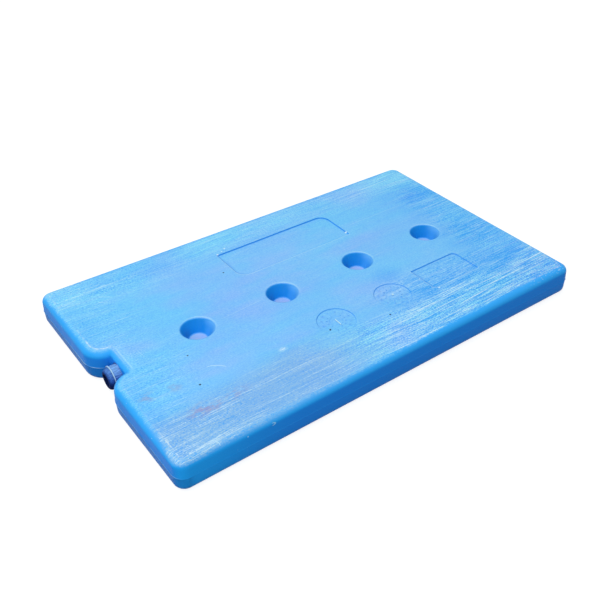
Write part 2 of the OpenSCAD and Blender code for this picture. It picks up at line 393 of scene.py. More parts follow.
def build_plate():
    prof = edge_profile()
    crease = outline(INSET)
    n = len(crease)
    share = back_share()
    verts, norms, depth, faces = [], [], [], []

    def face_side(top):
        v, t = flat_face(top, crease)
        x, y = v[:, 0], v[:, 1]
        z = face_depth(x, y, top)
        z[:n] = 0
        h = 0.04
        gx = (face_depth(x + h, y, top) - face_depth(x - h, y, top)) / (2 * h)
        gy = (face_depth(x, y + h, top) - face_depth(x, y - h, top)) / (2 * h)
        nrm = np.c_[gx, gy, np.ones(len(v))]
        nrm[:n] = (0, 0, 1)
        nrm /= np.linalg.norm(nrm, axis=1)[:, None]
        dist = -crease_distance(v, crease)
        dist[:n] = 0
        lip_painted_shading = paint_lip_light_and_shade(x, y) if top else np.zeros_like(x)
        well = np.min([np.hypot(x - cx, y - cy) for cx, cy in CENTRES], axis=0)
        well = smooth((DIMPLE_R - 0.1 - well) / 2.3) * smooth((well - 9.2) / 2.4)
        if top:
            return np.c_[v, THK - z], nrm, dist, t, lip_painted_shading, well
        return np.c_[v, z], nrm * (1, 1, -1), dist, t, lip_painted_shading, well

    pv, pn, pd, pt, top_lip_painted_shading, top_well = face_side(True)
    verts.append(pv)
    norms.append(pn)
    depth.append(pd)
    faces += [tuple(f) for f in facing(pv, pt, True)]
    base = len(pv)
    rows = [list(range(n))]
    run = 0.0
    for j in range(1, len(prof) - 1):
        s, z, a = prof[j]
        run += math.hypot(s - prof[j - 1][0], z - prof[j - 1][1])
        b, ab = back_section(z, s, a)
        lp = outline(s, b)
        an = a + (ab - a) * share
        d = np.roll(lp, -1, axis=0) - np.roll(lp, 1, axis=0)
        o = np.c_[d[:, 1], -d[:, 0]]
        o /= np.linalg.norm(o, axis=1)[:, None]
        nrm = np.c_[o * np.cos(an)[:, None], np.sin(an)]
        verts.append(np.c_[lp, np.full(n, z)])
        norms.append(nrm)
        depth.append(np.full(n, run))
        rows.append(list(range(base, base + n)))
        base += n
    bv, bn, bd, bt, low_lip_painted_shading, low_well = face_side(False)
    rows.append(list(range(base, base + n)))
    verts.append(bv)
    norms.append(bn)
    depth.append(bd)
    faces += [tuple(f + base) for f in facing(bv, bt, False)]
    for a, b in zip(rows, rows[1:]):
        for i in range(n):
            k = (i + 1) % n
            faces.append((a[i], b[i], b[k], a[k]))
    v, nr, dp = np.vstack(verts), np.vstack(norms), np.concatenate(depth)
    v = warp(v)
    me = bpy.data.meshes.new("plate_body")
    me.from_pydata((v * MM).tolist(), [], [tuple(int(q) for q in f) for f in faces])
    me.validate()
    me.update()
    gap = np.zeros(len(v) - len(top_lip_painted_shading) - len(low_lip_painted_shading))
    put_values(me, "edge_run", dp)
    # painted highlight and shade values for the edges of sunken forms and the dimple rims
    put_values(me, "lip_painted_shading", np.concatenate([top_lip_painted_shading, gap, low_lip_painted_shading]))
    put_values(me, "well", np.concatenate([top_well, gap, low_well]))
    me.polygons.foreach_set("use_smooth", [True] * len(me.polygons))
    me.normals_split_custom_set_from_vertices([tuple(q) for q in nr])
    ob = bpy.data.objects.new("plate_body", me)
    bpy.context.collection.objects.link(ob)
    return ob


# Material helpers
class Graph:
    """One material's nodes, with short names for the sums that its look is made of."""

    def __init__(self, name):
        self.mat = bpy.data.materials.new(name)
        self.mat.use_nodes = True
        self.t = self.mat.node_tree
        self.bsdf = self.t.nodes["Principled BSDF"]

    def node(self, kind, **props):
        n = self.t.nodes.new(kind)
        for k, v in props.items():
            setattr(n, k, v)
        return n

    def link(self, a, b):
        self.t.links.new(a, b)

    def put(self, sock, v):
        if isinstance(v, bpy.types.NodeSocket):
            self.link(v, sock)
        else:
            sock.default_value = v

    def attribute(self, name):
        return self.node("ShaderNodeAttribute", attribute_name=name).outputs["Fac"]

    def surface(self):
        """The place in millimetres, its x, y and z, and the normal's x, y and z."""
        mm = self.mapped(self.node("ShaderNodeTexCoord").outputs["Object"], (1000, 1000, 1000))
        parts = []
        for vec in (mm, self.node("ShaderNodeNewGeometry").outputs["Normal"]):
            split = self.node("ShaderNodeSeparateXYZ")
            self.link(vec, split.inputs[0])
            parts.append(list(split.outputs))
        return mm, parts[0], parts[1]

    def math(self, op, a, b=0.0):
        n = self.node("ShaderNodeMath", operation=op)
        self.put(n.inputs[0], a)
        self.put(n.inputs[1], b)
        return n.outputs[0]

    def chain(self, op, values):
        out = values[0]
        for v in values[1:]:
            out = self.math(op, out, v)
        return out

    def add(self, *values):
        return self.chain("ADD", values)

    def mul(self, *values):
        return self.chain("MULTIPLY", values)

    def most(self, *values):
        return self.chain("MAXIMUM", values)

    def opposite(self, a):
        return self.math("SUBTRACT", 1.0, a)

    def away(self, v, at=0.0):
        """How far v is from the value at."""
        return self.math("ABSOLUTE", self.add(v, -at))

    def length(self, a, b):
        return self.math("SQRT", self.add(self.mul(a, a), self.mul(b, b)))

    def step(self, v, lo, hi, a=0.0, b=1.0):
        n = self.node("ShaderNodeMapRange", interpolation_type="SMOOTHSTEP")
        for s, q in zip(n.inputs, (v, lo, hi, a, b)):
            self.put(s, q)
        return n.outputs[0]

    def window(self, v, a, b, c, d):
        """Two steps of v, from a to b and from c to d, where both hold."""
        return self.mul(self.step(v, a, b), self.step(v, c, d))

    def plus(self, start, *terms):
        """start and each mask times its amount, added up."""
        for mask, amount in terms:
            start = self.add(start, self.mul(mask, amount))
        return start

    def mix(self, f, a, b):
        n = self.node("ShaderNodeMix", data_type="RGBA")
        self.put(n.inputs[0], f)
        for s, v in ((n.inputs[6], a), (n.inputs[7], b)):
            self.put(s, (*v, 1.0) if isinstance(v, tuple) else v)
        return n.outputs[2]

    def coat(self, col, *layers):
        """col with each layer's colour laid over it as far as its mask reaches."""
        for mask, layer in layers:
            col = self.mix(mask, col, layer)
        return col

    def mapped(self, vec, scale=(1, 1, 1), rot=0.0, loc=(0, 0, 0)):
        n = self.node("ShaderNodeMapping")
        self.put(n.inputs["Vector"], vec)
        n.inputs["Scale"].default_value = scale
        n.inputs["Rotation"].default_value = (0, 0, rot)
        n.inputs["Location"].default_value = loc
        return n.outputs[0]

    def noise(self, vec, scale, detail=3.0, rough=0.55, rot=0.0, loc=(0, 0, 0)):
        n = self.node("ShaderNodeTexNoise")
        self.put(n.inputs["Vector"], self.mapped(vec, scale, rot, loc))
        n.inputs["Scale"].default_value = 1.0
        n.inputs["Detail"].default_value = detail
        n.inputs["Roughness"].default_value = rough
        return n.outputs["Fac"]

    def cells(self, vec, scale):
        n = self.node("ShaderNodeTexVoronoi")
        self.put(n.inputs["Vector"], self.mapped(vec, (scale, scale, scale)))
        n.inputs["Scale"].default_value = 1.0
        return n.outputs["Distance"]

    def bump(self, height, strength, distance):
        n = self.node("ShaderNodeBump")
        n.inputs["Strength"].default_value = strength
        n.inputs["Distance"].default_value = distance
        self.link(height, n.inputs["Height"])
        self.link(n.outputs[0], self.bsdf.inputs["Normal"])


def plate_material():
    """Worn blue plastic with painted light and shade; places and widths in mm, strengths from 0 to 1."""
    g = Graph("plate_plastic")
    add, mul, most, step, noise, away = g.add, g.mul, g.most, g.step, g.noise, g.away
    mm, (x, y, z), (nx, ny, up) = g.surface()
    run, lip_painted_shading, well = (g.attribute(name) for name in ("edge_run", "lip_painted_shading", "well"))
    left_edge = mul(step(y, -120, -150), step(x, -70, -190))
    faceup = step(away(up), add(0.50, mul(left_edge, -0.25)), add(0.97, mul(left_edge, -0.20)))

    def swing(v):
        return add(v, -0.5)

    def patch(sx, sy, loc, lo, hi, rough=0.6, rot=0.0):
        return step(noise(mm, (sx, sy, 0.05), 3.0, rough, rot, loc), lo, hi)

    def spot(cx, cy, inner, outer, sx=1.0, sy=1.0):
        """1 within inner of a place, 0 past outer; sx and sy above 1 make it narrower along x or y."""
        return step(g.length(mul(add(x, -cx), sx), mul(add(y, -cy), sy)), outer, inner)

    def spots(*rows):
        """The strongest of several spots, each with its strength first."""
        return most(*(mul(spot(*place), strength) for strength, *place in rows))

    # where the plate has rubbed most: front band, right-hand part, far band, left end
    sway = mul(swing(noise(mm, (0.006, 0.02, 0.01), 2.0)), 60.0)
    ys, xs = add(y, sway), add(x, mul(sway, 1.5))
    front = mul(step(ys, -84, -120), g.opposite(mul(g.window(x, -190, -140, 0, -50), 0.48)))
    front = mul(front, step(x, -10, 60, 1.0, 1.7))
    mid = mul(step(ys, -36, -72), step(xs, 20, 120), 0.62)
    far = mul(step(ys, 84, 140), g.plus(0.45, (step(x, -120, -220), 0.35)))
    left = mul(step(xs, -165, -235), 0.45)
    right = mul(step(xs, 188, 232), 0.62)
    rub = add(mul(most(front, mid, far, left, right), 0.92), 0.08)

    # fine scratches along the plate in three sizes, each broken up by slower noise
    bend = g.node("ShaderNodeCombineXYZ")
    g.link(mul(noise(mm, (0.008, 0.02, 0.02), 1.0), 9.0), bend.inputs[1])
    warped = g.node("ShaderNodeVectorMath", operation="ADD")
    g.link(mm, warped.inputs[0])
    g.link(bend.outputs[0], warped.inputs[1])
    bent = warped.outputs[0]

    def streaks(sx, sy, rot, loc, lo, hi):
        return step(noise(bent, (sx, sy, 0.3), 2.0, 0.55, rot, loc), lo, hi)

    hair = streaks(0.018, 1.05, 0.010, (3, 1, 0), 0.575, 0.66)
    coarse = streaks(0.012, 0.70, -0.018, (9, 4, 0), 0.59, 0.67)
    line = streaks(0.007, 0.34, 0.022, (5, 7, 0), 0.63, 0.70)
    dark = streaks(0.010, 0.55, 0.004, (1, 13, 0), 0.60, 0.72)
    slant = most(
        streaks(0.05, 0.6, 0.62, (2, 8, 0), 0.70, 0.74),
        streaks(0.04, 0.5, -0.9, (6, 3, 0), 0.71, 0.75),
    )
    gate = patch(0.012, 0.055, (1, 5, 0), 0.40, 0.60)
    stipple = noise(mm, (0.26, 0.62, 0.4), 4.0, 0.72, 0.03)
    scratch = most(mul(hair, g.plus(0.35, (gate, 0.65))), mul(coarse, 0.9), mul(line, 0.5))
    scratch = mul(scratch, rub, g.plus(0.50, (step(stipple, 0.42, 0.58), 0.50)))
    scratch = mul(most(scratch, mul(slant, g.plus(0.10, (rub, 0.45)))), faceup)
    brushed = noise(bent, (0.012, 0.52, 0.3), 4.0, 0.66, 0.01)
    threads = noise(bent, (0.030, 1.15, 0.3), 2.0, 0.6, 0.008, (8, 2, 0))
    hatch = noise(mm, (0.9, 0.03, 0.3), 2.0, 0.5, 0.02)

    # chalky film of fine wear on the flats with painted sheen, on faces turned up; thinner where the plastic
    # still looks fresh
    fresh = spots(
        (0.8, 218, -114, 12, 66, 0.8, 1.4),
        (0.6, 74, -44, 4, 26, 0.9, 1.2),
        (0.8, 222, -34, 8, 58, 0.7, 1.6),
        (0.9, 236, 70, 8, 40),
        (0.3, -251, 85, 8, 40, 2.2, 0.4),
        (0.4, -252, -85, 8, 34, 2.0, 0.4),
        (0.7, 93, -86, 6, 30, 1.2, 0.9),
        (0.4, -150, 132, 8, 50, 0.5, 1.6),
    )
    cloud = noise(mm, (0.009, 0.022, 0.02), 4.0, 0.6, 0.03)
    fine = noise(mm, (0.42, 0.95, 0.5), 2.0, 0.7, 0.02, (3, 3, 0))
    calm = step(x, -60, -170, 1.0, 0.6)
    film_and_sheen = g.plus(
        0.455,
        (swing(cloud), 0.20),
        (swing(brushed), g.plus(0.10, (rub, 0.20))),
        (swing(threads), g.plus(0.09, (rub, mul(calm, 2.1)))),
        (swing(hatch), 0.06),
        (swing(stipple), g.plus(0.12, (rub, 0.40))),
        (swing(fine), g.plus(0.54, (rub, 2.1))),
        (front, 0.05),
        (spot(-190, 120, 20, 90), 0.03),
        (mul(fresh, patch(0.014, 0.045, (7, 2, 0), 0.25, 0.55)), -0.24),
        (mul(step(x, 165, 225), step(y, 125, 95)), step(y, -110, -20, -0.04, -0.14)),
        (mul(step(x, 5, 70), step(y, -70, -96)), -0.12),
        (spot(150, -84, 14, 60, 0.8, 1.6), -0.13),
        (mul(step(x, 0, 25), step(y, -118, -130)), -0.09),
        (mul(step(y, 108, 135), g.window(x, -110, -60, 110, 50)), 0.11),
        (spot(-80, -102, 15, 60, 0.6, 1.5), 0.05),
        (spot(-252, -157, 6, 24), -0.10),
        (spots((1.0, 215, 140, 14, 60, 0.7, 1.6), (0.7, -250, 145, 12, 50)), 0.12),
    )

    # how far film, painted sheen and scratches reach over the crease, less in the nook of the notch
    grit = noise(mm, (0.16, 0.16, 0.16), 5.0, 0.75)
    nook = mul(step(away(y, NOTCH_Y), 25, 17), step(x, -226, -231))
    reach = g.plus(
        mul(left_edge, 3.2),
        (step(y, 120, 150), 0.8),
        (step(x, -222, -244), 2.8),
        (step(x, 225, 250), step(y, -150, -120, -2.0, 2.5)),
        (nook, -4.6),
        (step(y, -146, -152), step(x, 60, 200, 1.0, -1.0)),
        (mul(step(y, -140, -150), g.window(x, -130, -80, 40, 0)), 1.6),
    )
    over = g.math("SUBTRACT", g.plus(run, (swing(grit), 7.0)), reach)
    flat = step(over, g.plus(4.6, (most(left_edge, nook), 2.5)), -1.8)
    scratch = mul(scratch, step(over, 2.6, 0.6), g.opposite(well))
    film_and_sheen = mul(most(film_and_sheen, 0.0), faceup, flat, g.opposite(well))

    # rubbed line along the crease between face and edge, strongest at the notched end
    band = g.window(run, -3.0, -0.2, 2.6, 0.4)
    core = g.window(run, -1.0, 0.1, 1.4, 0.4)
    ends = most(
        spots((1.0, -256, 34, 8, 54), (1.0, -254, -152, 10, 62)),
        spots((0.8, 254, -150, 14, 90), (0.4, -252, 152, 10, 60)),
        mul(step(y, -100, -146), 0.10),
        mul(step(x, -228, -246), 0.14),
    )
    crease = mul(most(mul(band, step(grit, 0.52, 0.68)), mul(core, step(grit, 0.42, 0.60))), ends)

    # scuffed corners, and pale dots where the plate is rubbed
    corners = spots(
        (1.0, -252, -150, 3, 30),
        (0.75, -248, 150, 6, 70, 0.9, 1.3),
        (1.0, 250, -148, 10, 60, 0.8, 1.2),
        (0.8, -212, -151, 2, 22, 0.7, 1.6),
    )
    speck = step(noise(mm, (0.32, 0.6, 0.5), 3.0, 0.7), 0.56, 0.68)
    scuff = mul(corners, speck, step(up, 0.45, 0.95))
    dots = mul(step(g.cells(mm, 0.09), 0.075, 0.03), add(rub, 0.15), flat, step(up, 0.2, 0.8))

    # clean plastic colour, with painted light and shade on roundings, side faces and dimple walls
    drift = patch(0.006, 0.013, (0, 0, 0), 0.35, 0.65, 0.55, 0.2)
    lean = g.plus(mul(nx, 0.926), (ny, -0.387))
    clean_with_painted_light = g.coat(
        g.mix(drift, (0.010, 0.352, 0.95), (0.018, 0.318, 0.96)),
        # painted highlight on the upper rounding past the crease
        (mul(step(run, 0.0, 2.5), step(up, 0.0, 0.5)), (0.030, 0.415, 1.0)),
        # painted shade on faces turned sideways or down
        (step(up, 0.34, -0.05), (0.019, 0.274, 0.91)),
        # painted shade in the dimples; their walls painted lighter on one side and darker on the other
        (well, (0.010, 0.285, 0.80)),
        (mul(well, step(lean, -0.40, -0.86)), (0.055, 0.370, 0.90)),
        (mul(well, step(lean, -0.30, -0.8), step(z, 28.0, 35.5, 0.0, 0.6)), (0.16, 0.52, 1.0)),
        (mul(well, step(lean, 0.35, 0.85), step(z, 34.0, 23.0, 0.0, 0.6)), (0.03, 0.19, 0.56)),
        # painted light in the nook of the notch and on the near side's left part
        (mul(nook, step(up, 0.0, 0.8)), (0.035, 0.42, 1.0)),
        (mul(step(x, -120, -262), step(y, -150, -160)), (0.018, 0.40, 1.0)),
    )

    # colour of the film and its painted sheen, bluer or paler from place to place
    tint = g.plus(
        patch(0.007, 0.016, (4, 2, 0), 0.30, 0.70),
        (step(g.plus(x, (y, -0.6)), -60, -330), -0.5),
        (mul(step(ys, 70, 105), g.window(x, -130, -70, 150, 100)), -0.55),
        (mul(step(ys, -78, -100), g.window(x, -170, -110, 20, -20)), -0.5),
        (step(away(y), 60, 25), 0.18),
        (spot(-175, -87, 20, 75), 0.4),
    )
    tint = mul(most(tint, 0.0), g.opposite(mul(step(g.plus(x, (y, -0.5)), 70, 150), 0.5)))
    tint = mul(tint, step(x, 190, 232, 1.0, 0.25))
    dull = mul(step(ys, -80, -122), step(xs, 30, -110))
    film_and_sheen_colour = g.mix(tint, (0.33, 0.85, 1.0), (0.50, 0.73, 1.0))
    film_and_sheen_colour = g.mix(mul(dull, 0.9), film_and_sheen_colour, (0.40, 0.64, 0.84))

    # film with painted sheen, scratches, crease and painted light and shade on sunken lips, over the clean
    # colour
    bed = mul(g.window(z, 25.0, 22.5, 18.0, 20.0), step(up, 0.9, 0.99))
    brow = mul(nook, step(x, -246, -243), step(away(run, -3.0), 1.3, 0.4))
    col = g.coat(
        g.mix(film_and_sheen, clean_with_painted_light, film_and_sheen_colour),
        (mul(bed, g.plus(0.10, (grit, 1.1))), (0.43, 0.55, 0.86)),
        (mul(dull, faceup, 0.16), (0.22, 0.36, 0.52)),
        (mul(dark, rub, faceup, 0.30), (0.030, 0.34, 0.93)),
        (mul(scratch, 0.85), (0.62, 0.86, 1.0)),
        (mul(most(crease, scuff), 0.90), (0.66, 0.86, 0.95)),
        (mul(dots, 0.6), (0.62, 0.90, 1.0)),
        (mul(brow, g.plus(0.1, (grit, 0.45))), (0.50, 0.86, 1.0)),
        # painted highlight and painted shade on the lips of sunken forms and the dimple rims
        (mul(step(lip_painted_shading, 0.0, 0.85), 0.85), (0.60, 0.91, 1.0)),
        (mul(step(lip_painted_shading, -0.05, -1.0), 0.85), (0.02, 0.25, 0.80)),
    )

    # faint rust-pink rub marks and a few dark gouges near the left front
    mark = spots(
        (1.0, -206, -111, 3, 22, 0.75, 1.6),
        (0.9, -243, -63, 2, 13, 1.0, 1.1),
        (0.5, -215, -67, 2, 10),
        (0.6, -176, -109, 3, 20, 0.7, 1.7),
    )
    blot = step(noise(mm, (0.08, 0.17, 0.1), 4.0, 0.7, 0.05), 0.42, 0.62)
    gouge = step(noise(mm, (0.30, 0.55, 0.1), 3.0, 0.65, 0.7, (5, 5, 0)), 0.64, 0.70)
    gouge = mul(gouge, spots((1.0, -222, -128, 4, 20), (0.7, -196, -142, 3, 18, 0.5, 1.4)))

    # small dark pits and pale nicks
    on_top = step(z, 30, 34)
    pit = mul(on_top, spots(
        (1.0, -182.0, -33.1, 0.5, 1.2),
        (1.0, -193.7, -79.0, 0.75, 1.5),
        (1.0, -75.1, 74.2, 0.65, 1.3),
        (1.0, -39.4, -85.7, 0.65, 1.3),
        (1.0, 28.7, -104.4, 0.65, 1.3),
    ))
    nick = mul(on_top, most(mul(spot(-98.9, -82.7, 1.0, 6.0, 0.8, 1.3), add(0.30, speck)), spots(
        (1.0, 96.5, 61.0, 0.5, 2.0),
        (1.0, 107.2, -99.0, 0.5, 1.7),
        (0.8, -98.9, -82.7, 0.4, 1.6),
        (1.0, -47.0, 118.9, 0.4, 1.5),
        (1.0, -60.8, 111.8, 0.4, 1.8),
        (1.0, -53.0, 115.0, 0.3, 1.2),
    )))

    # a few single scratches that curve or run across
    def stroke(strength, cx, cy, ang, half, bow, width):
        c, n = math.cos(ang), math.sin(ang)
        dx, dy = add(x, -cx), add(y, -cy)
        along = add(mul(dx, c), mul(dy, n))
        across = add(mul(dx, -n), mul(dy, c), mul(along, along, bow))
        return mul(step(away(across), width, width * 0.3), step(away(along), half, half * 0.7), strength)

    strokes = most(
        stroke(1.0, -166.0, -64.0, -0.62, 11.0, 0.022, 0.8),
        stroke(0.5, -218.5, -3.0, -1.45, 6.0, 0.0, 0.7),
        stroke(0.4, 175.0, 72.0, 0.0, 78.0, 0.0001, 0.7),
        stroke(0.5, -95.0, 1.0, 0.06, 30.0, 0.0, 0.6),
        stroke(1.0, 205.0, 136.0, 0.03, 30.0, 0.0, 0.8),
        stroke(1.0, -206.0, 112.0, -0.62, 8.0, 0.004, 0.6),
        stroke(1.0, -212.0, 104.0, -0.55, 6.0, -0.01, 0.6),
        stroke(1.0, -219.5, -154.5, -1.1, 5.0, 0.06, 0.7),
    )

    # two small nicks on the rounding of the near long side
    curl = step(away(g.length(mul(add(x, 163.8), 0.5), add(z, -29.6)), 1.3), 0.7, 0.2)
    peck = step(g.length(add(x, 191.0), add(z, -30.0)), 1.1, 0.4)
    curl = mul(most(mul(curl, step(x, -165.3, -162.8)), peck), step(y, -150, -155))

    # rubbing, grime, painted shade low on the walls, and the parting line on the side walls
    side = g.opposite(faceup)
    side_rub = step(noise(mm, (0.035, 0.035, 0.35), 5.0, 0.72), 0.54, 0.72)
    under_painted_shade = mul(step(z, 18.3, 16.8), step(x, -244, -258), side)
    grime = mul(step(noise(mm, (0.20, 0.20, 0.35), 4.0, 0.7), 0.54, 0.64), step(y, 100, 140))
    grime = mul(grime, step(away(z, 17.0), 8.0, 3.0), side, step(x, -240, -256))
    chip = mul(step(g.cells(mm, 0.12), 0.07, 0.03), side, g.opposite(nook), step(x, -180, -262))
    seam = mul(step(away(z, HALF), 0.75, 0.25), step(noise(mm, (0.05, 0.05, 0.1), 2.0), 0.34, 0.56))
    seam = mul(seam, side, g.plus(0.04, (step(x, -225, -252), step(y, -160.5, -154.0))))
    col = g.coat(
        col,
        (mul(mark, blot, faceup, 0.62), (0.36, 0.28, 0.50)),
        (mul(gouge, faceup, 0.5), (0.07, 0.20, 0.50)),
        (mul(pit, 0.95), (0.005, 0.03, 0.10)),
        (mul(nick, 0.85), (0.78, 0.95, 1.0)),
        (mul(strokes, on_top, 0.5), (0.66, 0.92, 1.0)),
        (mul(curl, 0.55), (0.50, 0.85, 1.0)),
        (mul(side_rub, side, 0.12), (0.05, 0.40, 0.86)),
        # painted shade: side walls darker toward the bottom, the notched end more so below the seam
        (mul(step(z, 16.0, 3.0), side, 0.22), (0.015, 0.16, 0.50)),
        (mul(under_painted_shade, g.plus(0.35, (step(grit, 0.35, 0.65), 0.25))), (0.010, 0.13, 0.42)),
        (mul(grime, 0.6), (0.010, 0.050, 0.16)),
        (mul(chip, 0.7), (0.62, 0.85, 1.0)),
        (mul(seam, g.plus(0.32, (spot(-252, 36, 8, 46), 0.4))), (0.55, 0.84, 1.0)),
    )
    g.link(col, g.bsdf.inputs["Base Color"])

    # gloss
    rough = g.plus(0.38, (film_and_sheen, 0.30), (most(scratch, crease), 0.2))
    g.link(g.math("MINIMUM", rough, 0.8), g.bsdf.inputs["Roughness"])
    specular = g.plus(0.03, (faceup, 0.20), (step(up, 0.1, 0.6), 0.07))
    g.link(specular, g.bsdf.inputs["Specular IOR Level"])

    # relief: moulded grain, scratches, pits
    height = g.plus(
        mul(noise(mm, (0.9, 0.9, 0.9), 3.0, 0.6), 0.06),
        (noise(mm, (0.018, 0.03, 0.03), 2.0), 0.6),
        (g.plus(scratch, (dark, mul(rub, 0.6))), -0.10),
        (mul(brushed, faceup), 0.08),
        (crease, -0.12),
        (pit, -0.6),
    )
    g.bump(height, 0.6, 0.001)
    return g.mat


def plug_material():
    """Darker stopper plastic, painted with sheen on top, a ring highlight, and shade below and in the nose
    recess.
    """
    g = Graph("plug_plastic")
    mul, step, noise = g.mul, g.step, g.noise
    mm, (x, y, z), (ahead, _, up) = g.surface()
    wear = noise(mm, (0.10, 0.9, 0.9), 4.0, 0.65)
    grit = noise(mm, (1.1, 1.1, 1.1), 3.0, 0.6)
    # painted sheen on the stopper's top, broken up by the wear noise
    film_and_sheen = mul(step(up, 0.15, 1.05), step(wear, 0.2, 0.65), step(x, -254, -252, 0.34, 1.0))
    # painted highlight on the bead of the ring
    ring = g.window(x, -252.95, -252.6, -251.3, -251.7)
    # painted shade on faces turned down and toward the nose end, and low on the nose
    low = step(g.plus(up, (ahead, 0.35)), 0.40, -0.45)
    low_nose_painted_shade = mul(step(z, 25, 12), step(x, -252.9, -253.6))
    radius = g.length(g.add(y, -NOTCH_Y), g.add(z, -HALF))
    # painted shade in the nose's recess
    recess = mul(step(radius, 8.4, 6.6), step(x, -254.6, -255.3))
    col = g.coat(
        g.mix(step(wear, 0.38, 0.66), (0.014, 0.060, 0.30), (0.040, 0.150, 0.56)),
        (mul(film_and_sheen, 0.80), (0.27, 0.56, 0.98)),
        (mul(ring, g.plus(0.55, (step(grit, 0.35, 0.55), 0.40))), (0.50, 0.78, 1.0)),
        (mul(low, 0.85), (0.005, 0.016, 0.10)),
        (mul(low_nose_painted_shade, 0.85), (0.004, 0.012, 0.075)),
        (mul(recess, 0.96), (0.003, 0.011, 0.065)),
    )
    g.link(col, g.bsdf.inputs["Base Color"])
    g.link(g.plus(0.38, (wear, 0.3)), g.bsdf.inputs["Roughness"])
    g.link(step(x, -253.2, -252.4, 0.01, 0.16), g.bsdf.inputs["Specular IOR Level"])
    g.bump(g.plus(mul(grit, 0.4), (wear, 0.6)), 0.5, 0.0004)
    return g.mat


def build_plug():
    """Stopper turned about the X axis, with shallow grips round the skirt."""
    # section as (radius, distance from the nose): recess, nose, ring, skirt, spigot
    prof = [(0.0, 2.4), (3.0, 2.4), (5.2, 2.4), (5.75, 2.25), (6.0, 1.9), (6.3, 0.5), (6.5, 0.12), (6.9, 0.0),
            (7.9, 0.0)]
    for i in range(1, 10):
        a = -math.pi / 2 + (math.pi / 2 - 0.19) * i / 9
        prof.append((7.9 + 3.6 * math.cos(a), 3.6 + 3.6 * math.sin(a)))
    prof += [(11.7, 4.3), (12.05, 5.0), (12.8, 5.25), (13.4, 5.45), (13.5, 5.7), (13.5, 6.1), (13.4, 6.35),
             (12.8, 6.55), (12.5, 6.75), (12.5, 7.3), (12.5, 8.6), (12.5, 10.4), (12.5, 12.4), (12.5, 14.4),
             (12.5, 15.4), (12.4, 15.9), (12.0, 16.1), (8.0, 16.1), (8.0, 20.0), (8.0, 25.1), (7.0, 26.1),
             (0.0, 26.1)]
    seg, grips, grip_depth = 144, 36, 0.08
    verts, faces = [], []
    for r, u in prof:
        for k in range(seg):
            t = 2 * math.pi * k / seg
            groove = grip_depth * (0.5 - 0.5 * math.cos(t * grips))
            rr = r
            if 6.8 < u < 15.6 and r > 12:
                rr = r - groove * min((u - 6.8) / 1.5, 1)
            elif 1.0 < u < 4.6 and r > 9:
                rr = r - groove * min(u - 1.0, 1)
            verts.append((STOPPER_END + u, NOTCH_Y + rr * math.cos(t), HALF + rr * math.sin(t)))
    for j in range(len(prof) - 1):
        for k in range(seg):
            m = (k + 1) % seg
            faces.append((j * seg + k, (j + 1) * seg + k, (j + 1) * seg + m, j * seg + m))
    me = bpy.data.meshes.new("stopper")
    me.from_pydata([tuple(c * MM for c in v) for v in verts], [], faces)
    bm = bmesh.new()
    bm.from_mesh(me)
    bmesh.ops.remove_doubles(bm, verts=bm.verts, dist=1e-6)
    bmesh.ops.recalc_face_normals(bm, faces=bm.faces)
    bm.to_mesh(me)
    bm.free()
    me.polygons.foreach_set("use_smooth", [True] * len(me.polygons))
    me.set_sharp_from_angle(angle=math.radians(50))
    ob = bpy.data.objects.new("stopper", me)
    bpy.context.collection.objects.link(ob)
    return ob


def cut_seat(ob):
    """Sinks the stopper's round seat into the back wall of the notch, keeping the shading of the rest."""
    src = ob.data
    tree = KDTree(len(src.vertices))
    for v in src.vertices:
        tree.insert(v.co, v.index)
    tree.balance()
    normals = [Vector(c.vector) for c in src.corner_normals]
    per = {}
    for lp in src.loops:
        per[lp.vertex_index] = normals[lp.index]
    seg = 96
    vs, fs = [], []
    for u in (BACK - 6.0, BACK + SEAT_D):
        for k in range(seg):
            t = 2 * math.pi * k / seg
            y, z = NOTCH_Y + SEAT_R * math.cos(t), HALF + SEAT_R * math.sin(t)
            vs.append((u * MM, y * MM, z * MM))
    for k in range(seg):
        m = (k + 1) % seg
        fs.append((k, seg + k, seg + m, m))
    fs.append(tuple(range(seg)))
    fs.append(tuple(range(2 * seg - 1, seg - 1, -1)))
    cm = bpy.data.meshes.new("cutter")
    cm.from_pydata(vs, [], fs)
    cm.update()
    bm = bmesh.new()
    bm.from_mesh(cm)
    bmesh.ops.recalc_face_normals(bm, faces=bm.faces)
    bm.to_mesh(cm)
    bm.free()
    cutter = bpy.data.objects.new("cutter", cm)
    bpy.context.collection.objects.link(cutter)
    mod = ob.modifiers.new("seat", "BOOLEAN")
    mod.operation = "DIFFERENCE"
    mod.object = cutter
    mod.solver = "EXACT"
    dg = bpy.context.evaluated_depsgraph_get()
    me = bpy.data.meshes.new_from_object(ob.evaluated_get(dg))
    ob.modifiers.clear()
    bpy.data.objects.remove(cutter)
    me.name = "plate_body"
    me.polygons.foreach_set("use_smooth", [True] * len(me.polygons))
    out = []
    for p in me.polygons:
        c = p.center / MM
        d = math.hypot(c.y - NOTCH_Y, c.z - HALF)
        inside = BACK - 1 < c.x < BACK + SEAT_D + 0.01 and d < SEAT_R + 0.02
        seat = inside and (abs(c.x - BACK - SEAT_D) < 0.02 or d > SEAT_R - 0.2)
        for li in p.loop_indices:
            if seat:
                out.append(tuple(p.normal))
            else:
                co = me.vertices[me.loops[li].vertex_index].co
                _, k, dist = tree.find(co)
                if dist < 1e-6:
                    out.append(tuple(per[k]))
                else:
                    got = tree.find_n(co, 3)
                    acc = Vector((0, 0, 0))
                    for _, k2, d2 in got:
                        acc += per[k2] / (d2 + 1e-6)
                    out.append(tuple(acc.normalized()))
    me.normals_split_custom_set(out)
    ob.data = me


